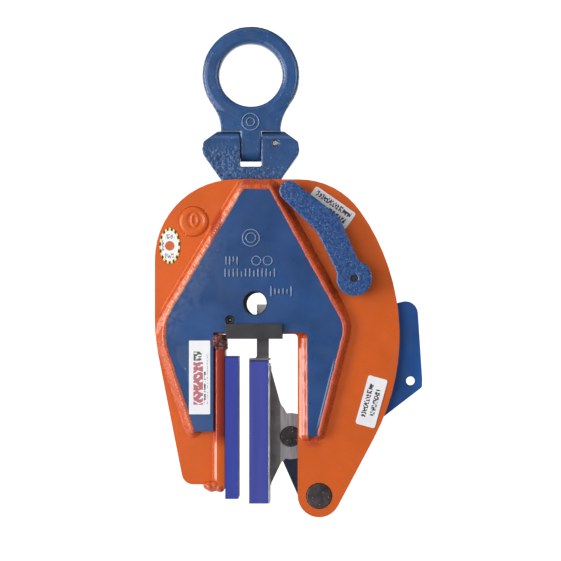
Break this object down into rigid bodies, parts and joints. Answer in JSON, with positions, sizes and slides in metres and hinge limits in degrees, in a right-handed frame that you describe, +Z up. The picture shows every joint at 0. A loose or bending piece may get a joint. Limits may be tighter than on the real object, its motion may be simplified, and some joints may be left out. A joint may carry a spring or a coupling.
{
  "type": "plate lifting clamp",
  "caption": "Vertical plate lifting clamp with a hinged lifting eye, soft non-marking jaw pads, a cam-driven moving jaw and a lock lever.",
  "frame": {"origin": "centre of the lifting eye's opening, where the clamp hangs", "axes": "+Z up along the pull of the hoist, +X from the fixed jaw towards the cam, -Y the front, where the lock lever is"},
  "size_m": [0.2805, 0.0745, 0.5157],
  "materials": {
    "blue_forging": "blue gloss paint over a forged surface",
    "blue_plate": "blue gloss paint over smooth plate",
    "blue_casting": "blue paint over a coarse cast skin",
    "orange_body": "orange gloss paint over plate and weld",
    "urethane": "cast polyurethane, satin",
    "grey_steel": "dark grey steel, satin",
    "black_steel": "blackened steel with a rough face",
    "bright_steel": "machined steel",
    "spring_steel": "drawn spring wire",
    "label_film": "white printed film"
  },
  "bodies": {
    "eye": {"lifting_eye": "blue_forging"},
    "shackle": {"shackle_plate": "blue_forging", "eye_cross_pin": "bright_steel", "cross_pin_lock": "bright_steel", "link_pin_upper": "bright_steel"},
    "links": {"link_front": "bright_steel", "link_rear": "bright_steel"},
    "body": {"side_plate_front": "orange_body", "side_plate_rear": "orange_body", "reinforcement_front": "blue_plate", "reinforcement_rear": "blue_plate", "weld_outer_front": "orange_body", "weld_outer_rear": "orange_body", "weld_throat_front": "orange_body", "weld_throat_rear": "orange_body", "weld_jaw_front": "orange_body", "weld_jaw_rear": "orange_body", "centre_block": "orange_body", "spacer_boss": "orange_body", "jaw_plate": "orange_body", "fixed_pad": "urethane", "fixed_pad_screw_upper": "grey_steel", "fixed_pad_screw_lower": "grey_steel", "throat_guard": "grey_steel", "guard_screw": "black_steel", "guard_nut": "black_steel", "cam_axle": "black_steel", "axle_ring": "black_steel", "label_closed": "label_film", "label_open": "label_film", "rating_label": "label_film", "inspection_sticker": "label_film", "tension_spring": "spring_steel"},
    "cam": {"cam_plate": "blue_plate", "cam_bushing": "bright_steel", "link_pin_lower": "bright_steel", "spring_foot_pin": "bright_steel"},
    "moving_jaw": {"jaw_bracket": "grey_steel", "moving_pad": "urethane", "pad_backing_plate": "bright_steel", "jaw_pin": "black_steel", "jaw_pin_ring": "black_steel", "moving_pad_screw_upper": "grey_steel", "moving_pad_screw_lower": "grey_steel"},
    "lever": {"lock_lever": "blue_casting", "lever_shaft": "bright_steel", "lever_end_plug": "black_steel", "lever_crank": "grey_steel", "crank_pin": "bright_steel", "shaft_collar": "grey_steel"}
  },
  "joints": [
    {"name": "eye_swing", "type": "hinge", "parent": "eye", "child": "shackle", "pos_m": [0, 0, -0.0719], "axis": [1, 0, 0], "range_deg": [-90, 90]},
    {"name": "body_rise", "type": "slide", "parent": "shackle", "child": "body", "axis": [0, 0, 1], "range_m": [0, 0.0196], "deforming": ["tension_spring"]},
    {"name": "cam_turn", "type": "hinge", "parent": "body", "child": "cam", "pos_m": [0.0718, 0, -0.4419], "axis": [0, 1, 0], "range_deg": [0, 22.5]},
    {"name": "jaw_level", "type": "hinge", "parent": "cam", "child": "moving_jaw", "pos_m": [0.0419, 0, -0.38], "axis": [0, 1, 0], "range_deg": [-22.5, 0]},
    {"name": "link_swing", "type": "hinge", "parent": "shackle", "child": "links", "pos_m": [0.0362, 0, -0.1733], "axis": [0, 1, 0], "range_deg": [-4.5, 0]},
    {"name": "lever_turn", "type": "hinge", "parent": "body", "child": "lever", "pos_m": [0.1085, 0, -0.2144], "axis": [0, 1, 0], "range_deg": [0, 215]}
  ],
  "couplings": [
    {"joint": "cam_turn", "follows": "body_rise", "rad_per_m": 19.54},
    {"joint": "jaw_level", "follows": "body_rise", "rad_per_m": -19.54},
    {"joint": "link_swing", "follows": "body_rise", "rad_per_m": -3.465}
  ]
}
